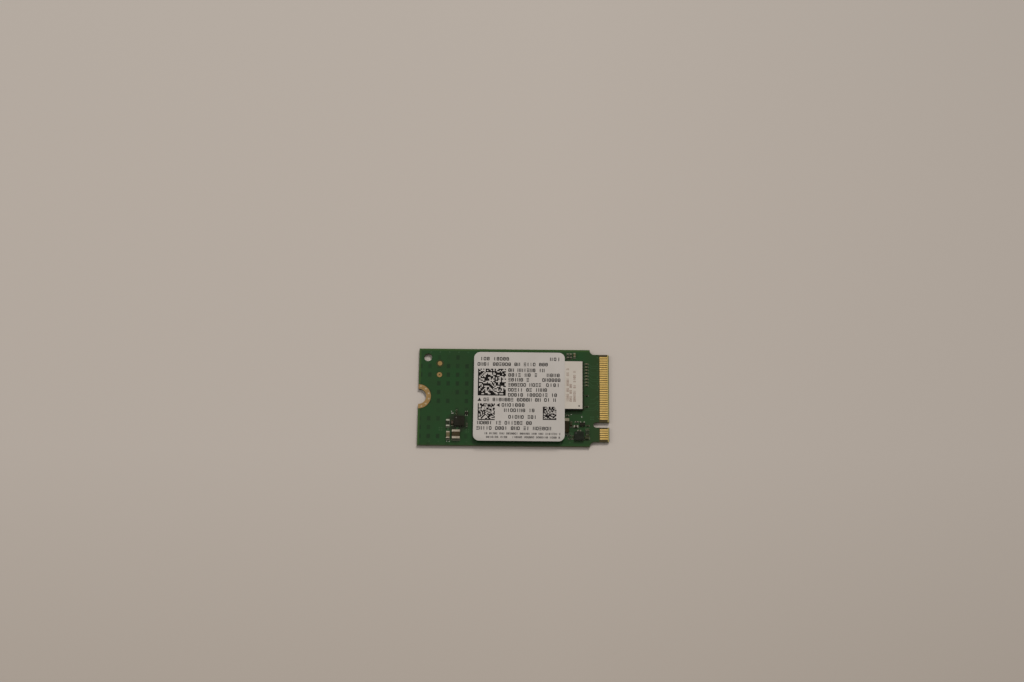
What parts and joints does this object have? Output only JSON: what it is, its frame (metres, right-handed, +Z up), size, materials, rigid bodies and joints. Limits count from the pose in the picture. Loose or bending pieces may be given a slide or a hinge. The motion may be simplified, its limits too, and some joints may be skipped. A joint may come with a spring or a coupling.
{
  "type": "nvme solid-state drive",
  "caption": "Bare solid-state storage card with an M-keyed card edge, a half-round screw notch, chip packages under paper labels and small surface-mounted parts on one side.",
  "frame": {"origin": "centre of the board's footprint on its underside", "axes": "+X along the card towards its contacts, +Y across it, +Z up out of the component side"},
  "size_m": [0.042, 0.022, 0.0021],
  "materials": {
    "solder_mask": "semi-gloss green solder mask over laminate",
    "gold": "gold plating, slightly worn",
    "bare_copper": "gold-flashed copper pad",
    "solder": "satin solder",
    "moulding_compound": "fine-grained black epoxy",
    "cream_sticker": "matt coated paper",
    "white_label": "matt coated film label",
    "resistor_black": "glazed black over white ceramic, tinned ends",
    "ceramic_tan": "tan ceramic, tinned ends",
    "ceramic_dark": "brown ceramic, tinned ends",
    "powder_brown": "pressed iron powder, tinned ends",
    "powder_black": "pressed iron powder, tinned ends",
    "chip_silicon": "dark back-coated silicon",
    "crystal_lid": "nickel-plated lid"
  },
  "bodies": {
    "root": {"circuit_board": "solder_mask", "top_contacts_long_row": "gold", "top_contacts_short_row": "gold", "bottom_contacts_long_row": "gold", "bottom_contacts_short_row": "gold", "notch_ring_top": "bare_copper", "notch_ring_bottom": "bare_copper", "fiducial_disc": "bare_copper", "test_pad": "bare_copper", "flash_solder_balls": "solder", "controller_solder_balls": "solder", "flash_package": "moulding_compound", "controller_package": "moulding_compound", "controller_sticker": "cream_sticker", "main_label": "white_label", "sense_resistor": "resistor_black", "bulk_capacitor": "ceramic_tan", "input_inductor": "powder_brown", "input_capacitor": "ceramic_dark", "regulator": "moulding_compound", "filter_capacitor_upper": "ceramic_dark", "filter_capacitor_lower": "ceramic_dark", "load_switch": "moulding_compound", "feedback_resistor": "resistor_black", "core_inductor": "powder_black", "strap_resistor": "resistor_black", "core_capacitor": "ceramic_tan", "gate_resistor": "resistor_black", "gate_capacitor": "ceramic_dark", "transistor": "moulding_compound", "pull_down_resistor": "resistor_black", "power_chip": "chip_silicon", "boost_capacitor": "ceramic_dark", "divider_resistor_upper": "resistor_black", "divider_resistor_lower": "resistor_black", "output_capacitor": "ceramic_dark", "output_bulk_capacitor": "ceramic_dark", "sense_capacitor": "ceramic_dark", "pull_up_resistor_left": "resistor_black", "pull_up_resistor_right": "resistor_black", "reset_capacitor": "ceramic_tan", "clock_capacitor_upper": "ceramic_dark", "clock_capacitor_lower": "ceramic_dark", "crystal": "crystal_lid", "crystal_capacitor_left": "ceramic_dark", "crystal_capacitor_right": "ceramic_dark", "supply_capacitor_left": "ceramic_dark", "supply_capacitor_right": "ceramic_dark", "coupling_capacitor_1": "ceramic_dark", "coupling_capacitor_2": "ceramic_dark", "coupling_capacitor_3": "ceramic_dark", "coupling_capacitor_4": "ceramic_dark", "coupling_capacitor_5": "ceramic_dark", "coupling_capacitor_6": "ceramic_dark", "coupling_capacitor_7": "ceramic_dark", "coupling_capacitor_8": "ceramic_dark"}
  },
  "joints": []
}
